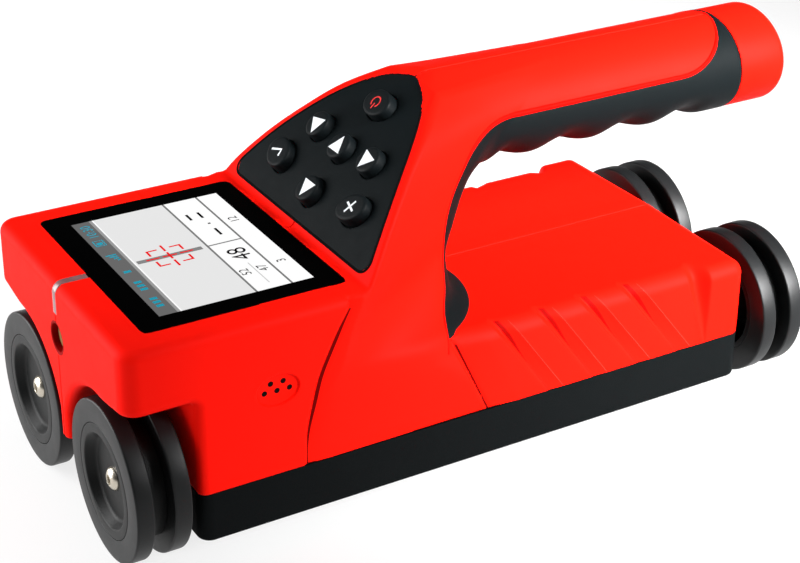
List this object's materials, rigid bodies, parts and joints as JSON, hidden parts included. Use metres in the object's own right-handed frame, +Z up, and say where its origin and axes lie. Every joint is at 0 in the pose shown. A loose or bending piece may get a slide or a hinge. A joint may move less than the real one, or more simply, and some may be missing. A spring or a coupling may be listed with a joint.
{
  "type": "rebar scanner",
  "caption": "Hand-held rebar scanner with a display head, sloped keypad, oval rubber grip over an open hand gap and a sensor body on twin-disc wheels that roll sideways.",
  "frame": {"origin": "bottom centre of the bounding box: the ground under the wheels, half way along the length", "axes": "+X from the display head to the battery end of the handle, +Z up; the scanner rolls along Y"},
  "size_m": [0.2692, 0.1144, 0.1243],
  "materials": {
    "red_shell": "soft satin red moulded plastic",
    "black_tray": "fine grained black moulded plastic",
    "grip_rubber": "matt charcoal over-moulded rubber",
    "hub_plastic": "black moulded plastic",
    "tyre_rubber": "smooth dark grey rubber",
    "axle_steel": "ground steel",
    "screw_nickel": "nickel plated",
    "encoder_plastic": "plain black",
    "board_green": "solder mask green",
    "former_plastic": "natural plastic",
    "copper_wire": "enamelled copper winding",
    "ferrite": "dull grey ferrite",
    "display_glass": "black printed glossy glass",
    "lcd_panel": "flat panel",
    "clear_plastic": "clear moulded plastic",
    "laser_brass": "turned brass",
    "keypad_silicone": "matt dark silicone",
    "key_silicone": "matt dark silicone with printed signs",
    "seal_rubber": "plain black",
    "cell_wrap": "shrink sleeve"
  },
  "bodies": {
    "case": {"base_screws": "screw_nickel", "base_tray": "black_tray", "battery_cells": "cell_wrap", "battery_cradle": "former_plastic", "bearings": "axle_steel", "board_chips": "encoder_plastic", "board_screws": "screw_nickel", "case_screws": "screw_nickel", "cell_contacts": "screw_nickel", "coil_former": "former_plastic", "display_lens": "display_glass", "drive_coil": "copper_wire", "encoder_sensor": "encoder_plastic", "ferrite_cores": "ferrite", "grip_sleeve": "grip_rubber", "key_board": "board_green", "key_domes": "screw_nickel", "keypad_mat": "keypad_silicone", "lamp": "clear_plastic", "laser_module": "laser_brass", "lcd_bracket": "former_plastic", "lcd_module": "lcd_panel", "light_guide": "clear_plastic", "main_board": "board_green", "pickup_coils": "copper_wire", "shell_left": "red_shell", "shell_right": "red_shell", "speaker": "encoder_plastic"},
    "wheels_left": {"axle_left": "axle_steel", "spacers_left": "axle_steel", "wheel_screws_left": "screw_nickel", "hub_front_left": "hub_plastic", "tyre_front_left_outer": "tyre_rubber", "tyre_front_left_inner": "tyre_rubber", "hub_rear_left": "hub_plastic", "tyre_rear_left_outer": "tyre_rubber", "tyre_rear_left_inner": "tyre_rubber", "encoder_disc": "encoder_plastic"},
    "wheels_right": {"axle_right": "axle_steel", "spacers_right": "axle_steel", "wheel_screws_right": "screw_nickel", "hub_front_right": "hub_plastic", "tyre_front_right_outer": "tyre_rubber", "tyre_front_right_inner": "tyre_rubber", "hub_rear_right": "hub_plastic", "tyre_rear_right_outer": "tyre_rubber", "tyre_rear_right_inner": "tyre_rubber"},
    "key_up": {"key_up": "key_silicone"},
    "key_down": {"key_down": "key_silicone"},
    "key_left": {"key_left": "key_silicone"},
    "key_right": {"key_right": "key_silicone"},
    "key_ok": {"key_ok": "key_silicone"},
    "key_esc": {"key_esc": "key_silicone"},
    "key_power": {"key_power": "key_silicone"},
    "cap": {"battery_cap": "red_shell", "cap_seal": "seal_rubber", "cap_contact": "screw_nickel"}
  },
  "joints": [
    {"name": "wheels_left_spin", "type": "hinge", "parent": "case", "child": "wheels_left", "pos_m": [0, -0.03123, 0.026], "axis": [1, 0, 0], "continuous": true},
    {"name": "wheels_right_spin", "type": "hinge", "parent": "case", "child": "wheels_right", "pos_m": [0, 0.03123, 0.026], "axis": [1, 0, 0], "continuous": true},
    {"name": "key_up_press", "type": "slide", "parent": "case", "child": "key_up", "axis": [0.6807, 0, -0.7326], "range_m": [0, 0.001], "stiffness_N_per_m": 900},
    {"name": "key_down_press", "type": "slide", "parent": "case", "child": "key_down", "axis": [0.6807, 0, -0.7326], "range_m": [0, 0.001], "stiffness_N_per_m": 900},
    {"name": "key_left_press", "type": "slide", "parent": "case", "child": "key_left", "axis": [0.6807, 0, -0.7326], "range_m": [0, 0.001], "stiffness_N_per_m": 900},
    {"name": "key_right_press", "type": "slide", "parent": "case", "child": "key_right", "axis": [0.6807, 0, -0.7326], "range_m": [0, 0.001], "stiffness_N_per_m": 900},
    {"name": "key_ok_press", "type": "slide", "parent": "case", "child": "key_ok", "axis": [0.6807, 0, -0.7326], "range_m": [0, 0.001], "stiffness_N_per_m": 900},
    {"name": "key_esc_press", "type": "slide", "parent": "case", "child": "key_esc", "axis": [0.6807, 0, -0.7326], "range_m": [0, 0.001], "stiffness_N_per_m": 900},
    {"name": "key_power_press", "type": "slide", "parent": "case", "child": "key_power", "axis": [0.6807, 0, -0.7326], "range_m": [0, 0.001], "stiffness_N_per_m": 900},
    {"name": "cap_pull", "type": "slide", "parent": "case", "child": "cap", "axis": [1, 0, 0], "range_m": [0, 0.03]}
  ]
}
